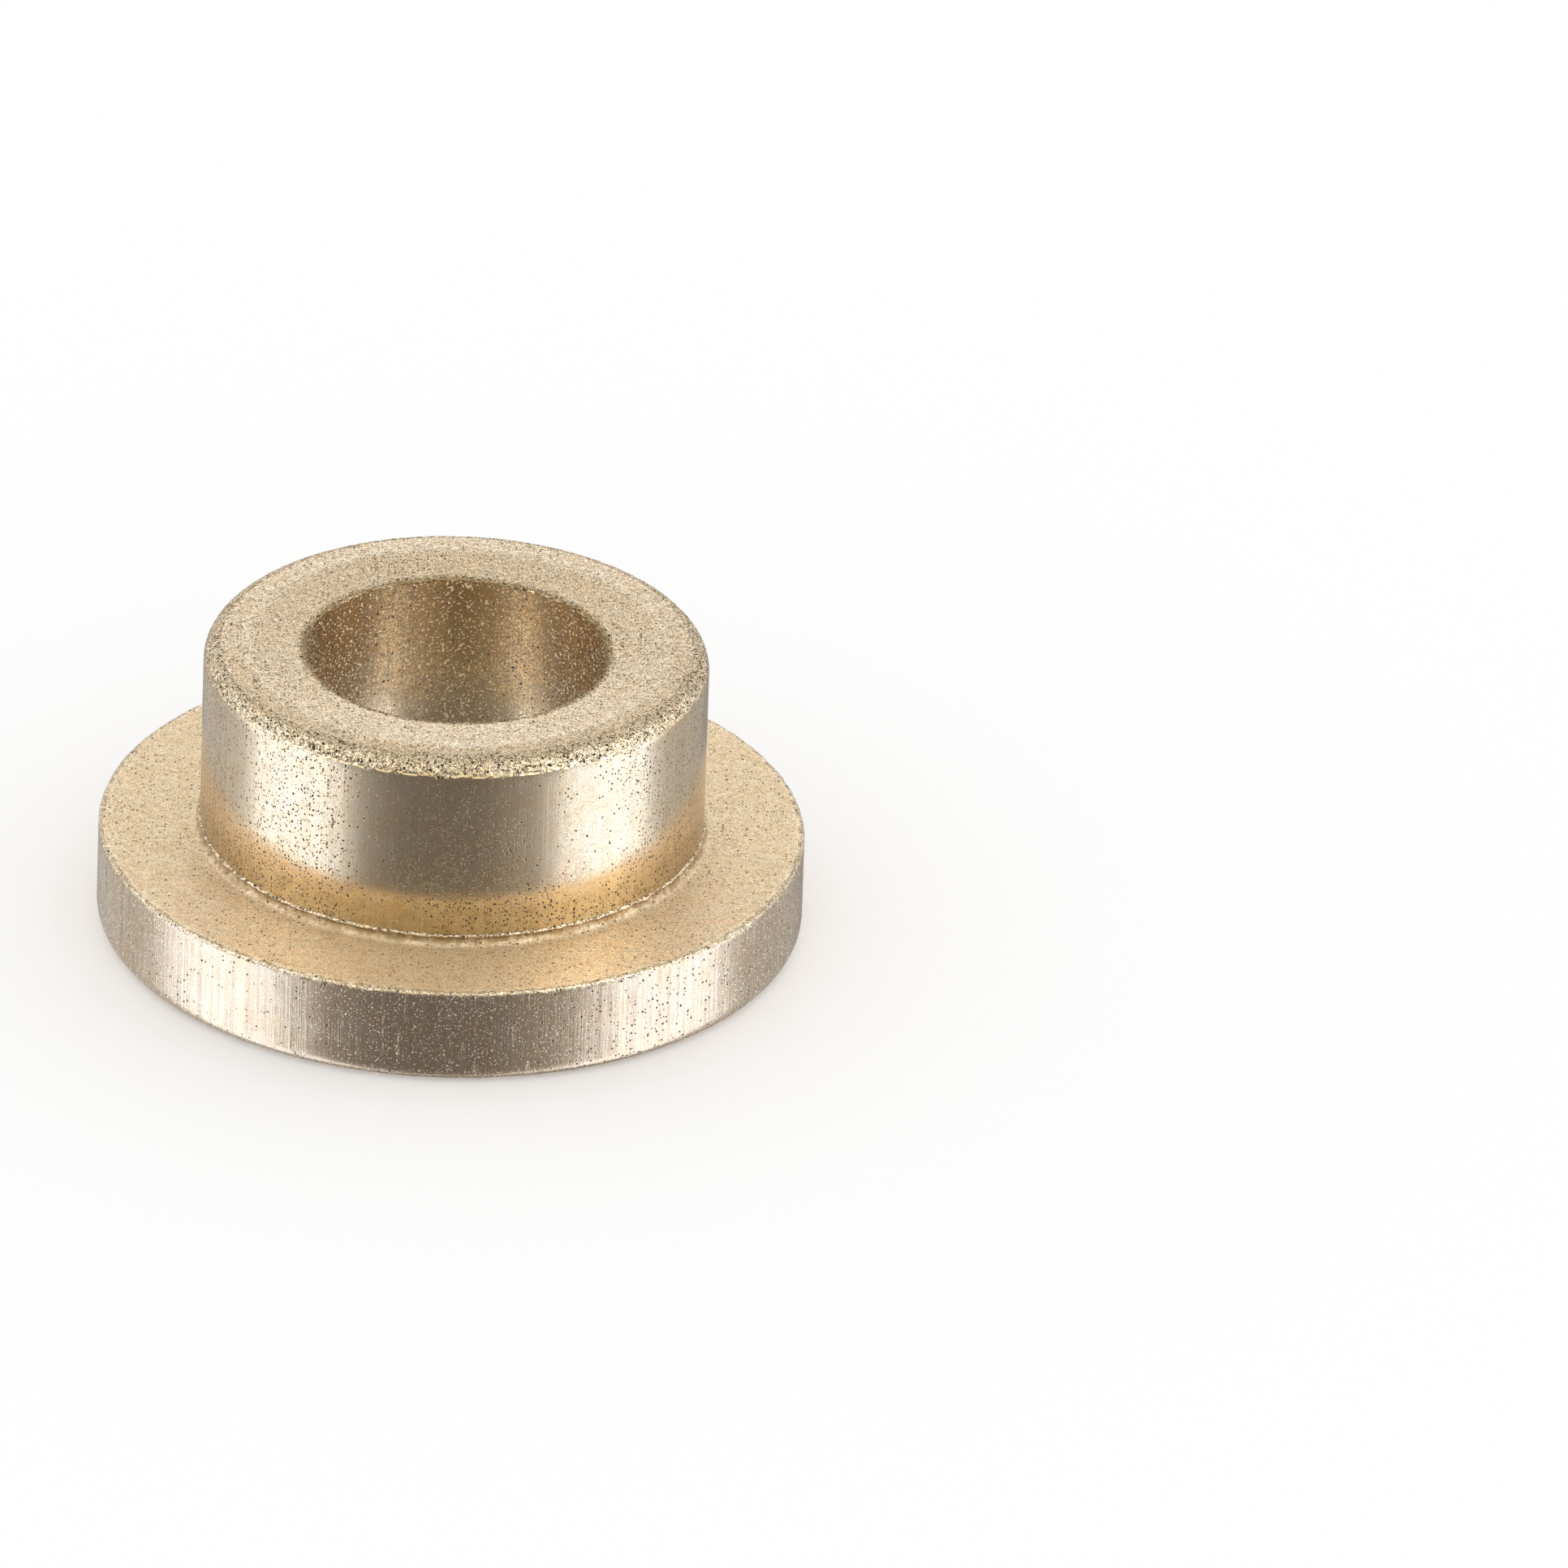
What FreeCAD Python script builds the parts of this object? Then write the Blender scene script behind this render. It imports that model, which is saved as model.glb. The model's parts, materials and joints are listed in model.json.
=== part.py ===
"""Flanged bushing: a plain sleeve bearing pressed in one piece from bronze powder.

A short tubular body stands on a round flange. The origin is the centre of the flange's
underside, and +Z runs up the bore towards the body's nose end. Every size is in millimetres.
"""
import FreeCAD
import Part
import os
from FreeCAD import Vector

# Main sizes
bore_diameter = 6.0
body_diameter = 10.0
flange_diameter = 14.0
flange_thickness = 2.0
overall_length = 6.0

# Nose end: its face stands highest on a ring, the crown, and falls slightly to both edges
crown_inset = 0.83
crown_to_bore_fall = 0.08
crown_to_edge_fall = 0.04
nose_rounding_width = 0.26
nose_rounding_height = 0.36
bore_edge_rounding = 0.04

# Corner between body and flange, with the low ridge that the pressing die leaves above it
shoulder_fillet = 0.17
parting_ridge_height = 0.06
parting_ridge_projection = 0.03

# Flange edges
flange_top_rounding = 0.08
foot_rounding = 0.30

# Rounded mouth of the bore in the flange's underside
bore_mouth_width = 0.65
bore_mouth_depth = 0.90

# Radii and heights that follow from the sizes above
bore_radius = bore_diameter / 2
body_radius = body_diameter / 2
flange_radius = flange_diameter / 2
crown_radius = body_radius - crown_inset
nose_edge_height = overall_length - crown_to_edge_fall
nose_wall_top = nose_edge_height - nose_rounding_height
bore_edge_height = overall_length - crown_to_bore_fall
fillet_top = flange_thickness + shoulder_fillet
ridge_top = fillet_top + parting_ridge_height


class HalfSection:
    """The closed outline of one side of the bushing's section, drawn edge by edge."""

    def __init__(self, radius, height):
        self.here = Vector(radius, 0, height)
        self.edges = []

    def line_to(self, radius, height):
        """Adds a straight edge."""
        there = Vector(radius, 0, height)
        self.edges.append(Part.LineSegment(self.here, there).toShape())
        self.here = there

    def arc_to(self, radius, height, centre_radius, centre_height):
        """Adds the shorter arc about a centre that is as far from both of its ends."""
        there = Vector(radius, 0, height)
        centre = Vector(centre_radius, 0, centre_height)
        outward = (self.here - centre) + (there - centre)
        middle = centre + outward.normalize() * (there - centre).Length
        self.edges.append(Part.Arc(self.here, middle, there).toShape())
        self.here = there

    def revolved(self):
        """Turns the closed outline once around the bore's axis into a solid."""
        face = Part.Face(Part.Wire(self.edges))
        return face.revolve(Vector(0, 0, 0), Vector(0, 0, 1), 360)


def arc_radius_off_wall(across, along):
    """Radius of the arc that leaves a straight wall smoothly and ends so far across and along it."""
    return (across ** 2 + along ** 2) / (2 * across)


def draw_flange(section):
    """From the bore's mouth over the underside, the rim and the shoulder to the foot of the body."""
    section.line_to(flange_radius - foot_rounding, 0)
    section.arc_to(flange_radius, foot_rounding, flange_radius - foot_rounding, foot_rounding)
    rounding_foot = flange_thickness - flange_top_rounding
    section.line_to(flange_radius, rounding_foot)
    section.arc_to(flange_radius - flange_top_rounding, flange_thickness,
                   flange_radius - flange_top_rounding, rounding_foot)
    section.line_to(body_radius + shoulder_fillet, flange_thickness)
    section.arc_to(body_radius, fillet_top, body_radius + shoulder_fillet, fillet_top)


def draw_body(section):
    """Up the body's outside, past the parting ridge, and over the nose to the bore's edge."""
    half_height = parting_ridge_height / 2
    crest_radius = body_radius + parting_ridge_projection
    crest_height = fillet_top + half_height
    ridge_centre = crest_radius - arc_radius_off_wall(parting_ridge_projection, half_height)
    section.arc_to(crest_radius, crest_height, ridge_centre, crest_height)
    section.arc_to(body_radius, ridge_top, ridge_centre, crest_height)
    section.line_to(body_radius, nose_wall_top)
    nose_arc = arc_radius_off_wall(nose_rounding_width, nose_rounding_height)
    section.arc_to(body_radius - nose_rounding_width, nose_edge_height, body_radius - nose_arc, nose_wall_top)
    section.line_to(crown_radius, overall_length)
    section.line_to(bore_radius + bore_edge_rounding, bore_edge_height)


def draw_bore(section):
    """Over the bore's edge, down its wall and out through the rounded mouth."""
    wall_top = bore_edge_height - bore_edge_rounding
    section.arc_to(bore_radius, wall_top, bore_radius + bore_edge_rounding, wall_top)
    section.line_to(bore_radius, bore_mouth_depth)
    mouth_arc = arc_radius_off_wall(bore_mouth_width, bore_mouth_depth)
    section.arc_to(bore_radius + bore_mouth_width, 0, bore_radius + mouth_arc, bore_mouth_depth)


def make_bushing():
    """The whole bushing as one solid of revolution."""
    section = HalfSection(bore_radius + bore_mouth_width, 0)
    draw_flange(section)
    draw_body(section)
    draw_bore(section)
    return section.revolved()


bushing = make_bushing()
print("flanged_bushing: valid", bushing.isValid(), "volume mm3", round(bushing.Volume, 3))
os.makedirs("parts", exist_ok=True)
bushing.exportStep("parts/flanged_bushing.step")
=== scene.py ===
"""Looks of the flanged bushing: its pressed, sized and worn bronze, the studio around it and the camera."""
import json
import logging
import math
from dataclasses import dataclass, field
from enum import Enum
from typing import Optional, Union

import bpy
import numpy as np
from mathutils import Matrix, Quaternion, Vector


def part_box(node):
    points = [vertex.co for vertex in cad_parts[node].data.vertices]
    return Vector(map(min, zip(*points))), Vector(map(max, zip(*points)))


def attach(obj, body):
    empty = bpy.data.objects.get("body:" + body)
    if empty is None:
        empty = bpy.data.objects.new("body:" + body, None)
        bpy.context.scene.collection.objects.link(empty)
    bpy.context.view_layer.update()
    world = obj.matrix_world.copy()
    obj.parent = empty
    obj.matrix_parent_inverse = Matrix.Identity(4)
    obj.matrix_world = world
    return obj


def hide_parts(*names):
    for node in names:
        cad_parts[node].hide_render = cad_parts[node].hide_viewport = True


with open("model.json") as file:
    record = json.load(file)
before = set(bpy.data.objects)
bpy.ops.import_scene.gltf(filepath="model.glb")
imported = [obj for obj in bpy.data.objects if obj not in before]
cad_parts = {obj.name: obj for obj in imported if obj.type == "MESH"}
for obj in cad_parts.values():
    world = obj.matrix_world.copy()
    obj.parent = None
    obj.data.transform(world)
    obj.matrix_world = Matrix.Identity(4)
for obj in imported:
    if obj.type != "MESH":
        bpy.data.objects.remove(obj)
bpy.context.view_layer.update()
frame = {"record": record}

NODE_NAME = "flanged_bushing"
BODY_NAME = "root"
MM = 0.001
PER_METRE = 1000.0
WHITE = (1.0, 1.0, 1.0)

# Where a Mix node for colours has its factor, its two colours and its result
MIX_SHARE, MIX_FIRST, MIX_SECOND, MIX_RESULT = 0, 6, 7, 2

Point = tuple[float, float]
Colour = tuple[float, float, float]
Socket = bpy.types.NodeSocket
Sockets = bpy.types.bpy_prop_collection
Term = Union[Socket, float, Colour]

log = logging.getLogger("bushing_looks")


class Zone(Enum):
    """The kinds of surface that the press and the sizing tools leave on the bushing."""

    NOSE_FACE = 0
    FLANGE_FACE = 1
    BODY_WALL = 2
    RIM_WALL = 3
    BORE_WALL = 4
    BROKEN_EDGE = 5
    CRUMBLED_EDGE = 6
    PARTING_RIDGE = 7


class Mark(Enum):
    """Painted shade with a darker bore brim, a painted reflection and painted highlights, by the name of
    the attribute that holds how strong each one is.
    """

    # painted shade in the corner under the parting ridge, and a darker bore brim
    STAIN = "oil_stain"
    # painted reflection: a gold-brown tint where the wall's foot mirrors the flange
    FILM = "oil_film"
    # painted highlights on the nose's crown and just inside the flange's edge
    BURNISH = "burnish"


@dataclass(frozen=True)
class Stretch:
    """One stretch of the half-section, straight or on an arc, in millimetres."""

    zone: Zone
    rows: int
    start: Point
    end: Point
    centre: Optional[Point] = None

    def points(self) -> np.ndarray:
        """Points from the start up to, but not including, the end.

        A straight stretch is start + t (end - start). An arc is centre + radius (cos a, sin a),
        where a runs evenly from the start's angle to the end's by the shorter way.

        Returns:
            Radius and height of each row, shape (rows, 2).
        """
        share = np.arange(self.rows)[:, None] / self.rows
        start, end = np.array(self.start), np.array(self.end)
        if self.centre is None:
            return start + share * (end - start)
        centre = np.array(self.centre)
        first = math.atan2(*(start - centre)[::-1])
        turn = math.atan2(*(end - centre)[::-1]) - first
        turn = (turn + math.pi) % (2 * math.pi) - math.pi
        angle = first + share * turn
        return centre + np.hypot(*(start - centre)) * np.hstack([np.cos(angle), np.sin(angle)])


@dataclass(frozen=True)
class SectionSizes:
    """Sizes of the half-section in millimetres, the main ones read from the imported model.

    Beside a small feature the rows lie closer together. A margin says up to where, as a multiple
    of that feature's own size.
    """

    bore_radius: float
    body_radius: float
    flange_radius: float
    flange_thickness: float
    overall_length: float
    crown_inset: float = 0.83
    crown_to_bore_fall: float = 0.08
    crown_to_edge_fall: float = 0.04
    nose_rounding: Point = (0.26, 0.36)
    bore_edge_rounding: float = 0.04
    shoulder_fillet: float = 0.17
    ridge_height: float = 0.06
    ridge_projection: float = 0.03
    flange_top_rounding: float = 0.08
    foot_rounding: float = 0.30
    bore_mouth: Point = (0.65, 0.90)
    crown_to_sized_edge: float = 0.26
    bore_edge_wear: float = 0.12
    rim_margin: float = 1.6
    flange_margin: float = 3.0
    wall_margin: float = 1.5
    bore_margin: float = 3.0

    @classmethod
    def from_frame(cls) -> "SectionSizes":
        """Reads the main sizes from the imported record's mounts and the part's box.

        Returns:
            The sizes, with the small roundings at their own values.
        """
        mounts = {mount["name"]: mount for mount in frame["record"]["mounts"]}
        low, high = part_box(NODE_NAME)
        return cls(
            bore_radius=mounts["bore"]["dims"]["r_mm"],
            body_radius=mounts["body_outside"]["dims"]["r_mm"],
            flange_radius=high.x * PER_METRE,
            flange_thickness=mounts["flange_shoulder"]["pos_m"][2] * PER_METRE,
            overall_length=(high.z - low.z) * PER_METRE,
        )

    @staticmethod
    def arc_off_wall(across: float, along: float) -> float:
        """Radius of the arc that leaves a wall smoothly and ends so far across and along it."""
        return (across ** 2 + along ** 2) / (2 * across)

    @property
    def nose_edge(self) -> Point:
        """Where the nose face starts to round over towards the wall."""
        return self.body_radius - self.nose_rounding[0], self.overall_length - self.crown_to_edge_fall

    @property
    def nose_arc_centre(self) -> Point:
        """Centre of the arc between the nose face and the wall."""
        return (self.body_radius - self.arc_off_wall(*self.nose_rounding),
                self.nose_edge[1] - self.nose_rounding[1])

    @property
    def sized_edge(self) -> Point:
        """Where, on the nose's arc, the burnished wall gives way to the rough pressed face."""
        height = self.overall_length - self.crown_to_sized_edge
        radius = self.arc_off_wall(*self.nose_rounding)
        centre = self.nose_arc_centre
        return centre[0] + math.sqrt(radius ** 2 - (height - centre[1]) ** 2), height

    @property
    def rim_top_edge(self) -> Point:
        """The sharp corner that the flange's top edge would have without its rounding."""
        return self.flange_radius, self.flange_thickness

    @property
    def bore_edge(self) -> Point:
        """The sharp corner that the bore's edge would have without its rounding."""
        return self.bore_radius, self.overall_length - self.crown_to_bore_fall

    @property
    def ridge_foot(self) -> Point:
        """Where the shoulder's fillet ends and the parting ridge starts."""
        return self.body_radius, self.flange_thickness + self.shoulder_fillet

    @property
    def ridge_crest(self) -> Point:
        """The outermost point of the parting ridge."""
        return self.body_radius + self.ridge_projection, self.ridge_foot[1] + self.ridge_height / 2

    def flange_stretches(self) -> list[Stretch]:
        """The half-section's stretches from the bore's mouth over the flange to the parting ridge.

        Returns:
            The stretches in order.
        """
        rim, top = self.flange_radius, self.flange_thickness
        foot, edge = self.foot_rounding, self.flange_top_rounding
        corner = (self.body_radius + self.shoulder_fillet, top + self.shoulder_fillet)
        return joined((self.bore_radius + self.bore_mouth[0], 0.0), [
            (Zone.FLANGE_FACE, 8, (rim - foot, 0.0), None),
            (Zone.RIM_WALL, 6, (rim, foot), (rim - foot, foot)),
            (Zone.RIM_WALL, 10, (rim, top - self.rim_margin * edge), None),
            (Zone.RIM_WALL, 2, (rim, top - edge), None),
            (Zone.BROKEN_EDGE, 6, (rim - edge, top), (rim - edge, top - edge)),
            (Zone.FLANGE_FACE, 4, (rim - self.flange_margin * edge, top), None),
            (Zone.FLANGE_FACE, 12, (corner[0], top), None),
            (Zone.FLANGE_FACE, 6, self.ridge_foot, corner),
        ])

    def body_stretches(self) -> list[Stretch]:
        """The half-section's stretches from the parting ridge over the nose and down the bore.

        Returns:
            The stretches in order.
        """
        wall, foot, ridge = self.body_radius, self.ridge_foot[1], self.ridge_height
        ridge_radius = self.arc_off_wall(self.ridge_projection, ridge / 2)
        ridge_centre = (self.ridge_crest[0] - ridge_radius, self.ridge_crest[1])
        brim = self.bore_edge_rounding
        brim_centre = (self.bore_edge[0] + brim, self.bore_edge[1] - brim)
        slope = self.crown_to_bore_fall / (wall - self.crown_inset - brim_centre[0])
        worn_edge = (brim_centre[0] + self.bore_edge_wear, self.bore_edge[1] + slope * self.bore_edge_wear)
        mouth_across, mouth_along = self.bore_mouth
        mouth_centre = (self.bore_radius + self.arc_off_wall(*self.bore_mouth), mouth_along)
        return joined(self.ridge_foot, [
            (Zone.FLANGE_FACE, 3, self.ridge_crest, ridge_centre),
            (Zone.PARTING_RIDGE, 3, (wall, foot + ridge), ridge_centre),
            (Zone.BODY_WALL, 2, (wall, foot + self.wall_margin * ridge), None),
            (Zone.BODY_WALL, 15, (wall, self.nose_arc_centre[1]), None),
            (Zone.BODY_WALL, 7, self.sized_edge, self.nose_arc_centre),
            (Zone.CRUMBLED_EDGE, 9, self.nose_edge, self.nose_arc_centre),
            (Zone.NOSE_FACE, 8, (wall - self.crown_inset, self.overall_length), None),
            (Zone.NOSE_FACE, 11, worn_edge, None),
            (Zone.CRUMBLED_EDGE, 4, (brim_centre[0], self.bore_edge[1]), None),
            (Zone.CRUMBLED_EDGE, 5, (self.bore_radius, brim_centre[1]), brim_centre),
            (Zone.BORE_WALL, 4, (self.bore_radius, brim_centre[1] - self.bore_margin * brim), None),
            (Zone.BORE_WALL, 7, (self.bore_radius, mouth_along), None),
            (Zone.FLANGE_FACE, 6, (self.bore_radius + mouth_across, 0.0), mouth_centre),
        ])


def joined(start: Point, steps: list[tuple[Zone, int, Point, Optional[Point]]]) -> list[Stretch]:
    """Turns steps along the section into stretches, each starting where the one before it ends.

    Args:
        start: Where the first stretch starts.
        steps: Zone, rows, end and centre of each stretch, the centre None for a straight one.

    Returns:
        The stretches in order.
    """
    starts = [start] + [end for _, _, end, _ in steps[:-1]]
    return [Stretch(zone, rows, begin, end, centre)
            for begin, (zone, rows, end, centre) in zip(starts, steps)]


@dataclass(frozen=True)
class SectionRows:
    """The section as rows of points: radius and height, distance travelled, and zone number."""

    outline: np.ndarray
    travel: np.ndarray
    zones: np.ndarray

    @classmethod
    def along(cls, stretches: list[Stretch]) -> "SectionRows":
        """Lays the rows along closed stretches.

        Args:
            stretches: The stretches in order.

        Returns:
            The rows.
        """
        outline = np.vstack([stretch.points() for stretch in stretches])
        steps = np.hypot(*(np.roll(outline, -1, axis=0) - outline).T)
        travel = np.concatenate([[0.0], np.cumsum(steps)[:-1]])
        zones = np.concatenate([np.full(stretch.rows, stretch.zone.value) for stretch in stretches])
        return cls(outline, travel, zones)

    @property
    def radius(self) -> np.ndarray:
        """Radius of each row, shape (rows, 1)."""
        return self.outline[:, :1]

    @property
    def height(self) -> np.ndarray:
        """Height of each row, shape (rows, 1)."""
        return self.outline[:, 1:]

    def outward(self) -> np.ndarray:
        """Unit normals of the outline: its tangent turned a quarter turn away from the metal."""
        tangent = np.roll(self.outline, -1, axis=0) - np.roll(self.outline, 1, axis=0)
        normal = np.stack([tangent[:, 1], -tangent[:, 0]], axis=1)
        return normal / np.hypot(*normal.T)[:, None]

    def holds(self, *zones: Zone) -> np.ndarray:
        """Whether each row is in one of the zones, shape (rows, 1)."""
        return np.isin(self.zones, [zone.value for zone in zones])[:, None]

    def distance(self, place: Point) -> np.ndarray:
        """Distance of each row from a place in the section's plane, shape (rows, 1)."""
        return np.hypot(*(self.outline - np.array(place)).T)[:, None]


@dataclass(frozen=True)
class Ripple:
    """A random relief that closes on itself around the bushing, its wavelengths in millimetres."""

    seed: int
    longest: float
    shortest: float
    waves: int = 90

    def over(self, rows: SectionRows, angle: np.ndarray, radius: float) -> np.ndarray:
        """Sum of cosine waves, each with a whole number of waves around and a random heading and phase.

        Args:
            rows: The section's rows.
            angle: Angle of each step around in radians, shape (1, around).
            radius: Radius in millimetres at which the wavelengths hold.

        Returns:
            Relief with a mean of 0 and a spread of 1, shape (rows, around).
        """
        draw = np.random.default_rng(self.seed)
        length = self.shortest * (self.longest / self.shortest) ** draw.random(self.waves)
        heading, phase = 2 * np.pi * draw.random((2, self.waves))
        around = np.rint(2 * np.pi * radius * np.cos(heading) / length)
        along = 2 * np.pi * np.sin(heading) / length
        travel = rows.travel[:, None]
        relief = np.zeros((travel.size, angle.size))
        for count, rate, offset in zip(around, along, phase):
            relief += np.cos(count * angle + rate * travel + offset)
        return relief * math.sqrt(2 / self.waves)


def eased(value: np.ndarray, low: float, high: float) -> np.ndarray:
    """Smooth step: 0 up to low, 1 from high on, and 3 t^2 - 2 t^3 between them."""
    share = np.clip((value - low) / (high - low), 0, 1)
    return share * share * (3 - 2 * share)


def fading(value: np.ndarray, low: float, high: float) -> np.ndarray:
    """Smooth step down: 1 up to low and 0 from high on."""
    return 1 - eased(value, low, high)


@dataclass(frozen=True)
class EdgeWear:
    """Small chips broken out along one edge of the section, in millimetres.

    Over the core, a share of the reach, the chips keep their whole depth. They start where the
    ripple passes the onset and are deepest where it is higher by the rise.
    """

    centre: Point
    zone: Zone
    reach: float
    depth: float
    onset: float
    ripple: Ripple
    core: float = 0.3
    rise: float = 1.6
    uneven: float = 0.4

    def cut(self, rows: SectionRows, angle: np.ndarray, worn_side: float) -> np.ndarray:
        """How deep the chips go: the ripple's peaks over the onset, fading away from the edge.

        Args:
            rows: The section's rows.
            angle: Angle of each step around, shape (1, around).
            worn_side: Angle at which the edge is worn most.

        Returns:
            Depth of metal lost at each point, shape (rows, around).
        """
        fade = fading(rows.distance(self.centre), self.core * self.reach, self.reach)
        share = np.where(rows.holds(self.zone), fade, 0.0)
        peaks = self.ripple.over(rows, angle, self.centre[0])
        uneven = 1 - self.uneven * (1 - np.cos(angle - worn_side)) / 2
        return self.depth * share * uneven * eased(peaks, self.onset, self.onset + self.rise)


@dataclass(frozen=True)
class PaintedMarks:
    """Where shade, a reflection and highlights are painted on the surface, and where the bore's brim is
    darker.

    A fade is the pair of distances in millimetres at which a mark begins to fade and is gone. The
    painted reflection thins over its own pair of heights above the ridge's crest. The brim's reach
    is a multiple of the bore edge's rounding. A strength is the mean of a mark and how far its
    patches go up and down from there.
    """

    corner_shade_fade: Point = (0.1, 0.24)
    brim_reach: float = 2.5
    reflection_thins: Point = (0.02, 0.25)
    reflection_thinned_by: float = 0.35
    reflection_fade: Point = (0.5, 0.85)
    crown_fade: Point = (0.0, 0.16)
    ring_inset: float = 0.1
    ring_fade: Point = (0.02, 0.1)
    shade_and_dark_brim_strength: Point = (0.85, 0.2)
    reflection_strength: Point = (0.9, 0.15)
    highlight_strength: Point = (0.55, 0.35)
    patches: Ripple = Ripple(71, 0.9, 0.12, 120)

    def stain(self, sizes: SectionSizes, rows: SectionRows) -> np.ndarray:
        """Painted shade in the corner under the parting ridge, and a darker colour on the bore's brim.

        Args:
            sizes: Sizes of the section.
            rows: The section's rows.

        Returns:
            Strength of the painted shade and of the darker brim, shape (rows, 1).
        """
        # painted shade: darkens the corner under the parting ridge
        corner = fading(rows.distance(sizes.ridge_foot), *self.corner_shade_fade)
        corner = np.where(rows.height < sizes.ridge_crest[1], corner, 0.0)
        # a darker colour on the bore's brim
        brim = sizes.bore_edge_rounding
        return corner + fading(rows.distance(sizes.bore_edge), brim, self.brim_reach * brim)

    def film(self, sizes: SectionSizes, rows: SectionRows) -> np.ndarray:
        """Painted reflection of the flange on the foot of the body's wall, which thins and then ends over
        the ridge.

        Args:
            sizes: Sizes of the section.
            rows: The section's rows.

        Returns:
            The painted reflection's strength, shape (rows, 1).
        """
        # painted reflection of the flange, strongest just over the ridge's crest
        climb = rows.height - sizes.ridge_crest[1]
        film = (1 - self.reflection_thinned_by * eased(climb, *self.reflection_thins)) * fading(climb, *self.reflection_fade)
        return np.where(rows.holds(Zone.BODY_WALL), film, 0.0)

    def burnish(self, sizes: SectionSizes, rows: SectionRows) -> np.ndarray:
        """Painted highlights: on the crown of the nose, and a ring on the flange just inside its edge.

        Args:
            sizes: Sizes of the section.
            rows: The section's rows.

        Returns:
            The painted highlights' strength, shape (rows, 1).
        """
        # painted highlights on the nose's crown and on a ring inside the flange's edge
        crown_highlight = fading(np.abs(rows.radius - sizes.body_radius + sizes.crown_inset), *self.crown_fade)
        crown_highlight = np.where(rows.height > sizes.bore_edge[1] - sizes.bore_edge_rounding, crown_highlight, 0.0)
        ring_highlight = fading(np.abs(rows.radius - sizes.flange_radius + self.ring_inset), *self.ring_fade)
        ring_highlight = np.where(rows.height > sizes.flange_thickness - sizes.flange_top_rounding, ring_highlight, 0.0)
        return crown_highlight + ring_highlight

    def over(self, sizes: SectionSizes, rows: SectionRows, angle: np.ndarray) -> dict[Mark, np.ndarray]:
        """How strongly each point is marked, broken up into patches by the ripple.

        Args:
            sizes: Sizes of the section.
            rows: The section's rows.
            angle: Angle of each step around, shape (1, around).

        Returns:
            Strength of each mark from 0 to 1, shape (rows, around).
        """
        patchy = self.patches.over(rows, angle, sizes.body_radius)
        marked = {
            Mark.STAIN: (self.stain(sizes, rows), self.shade_and_dark_brim_strength),
            Mark.FILM: (self.film(sizes, rows), self.reflection_strength),
            Mark.BURNISH: (self.burnish(sizes, rows), self.highlight_strength),
        }
        return {mark: np.clip(place * (mean + spread * patchy), 0, 1)
                for mark, (place, (mean, spread)) in marked.items()}


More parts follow.
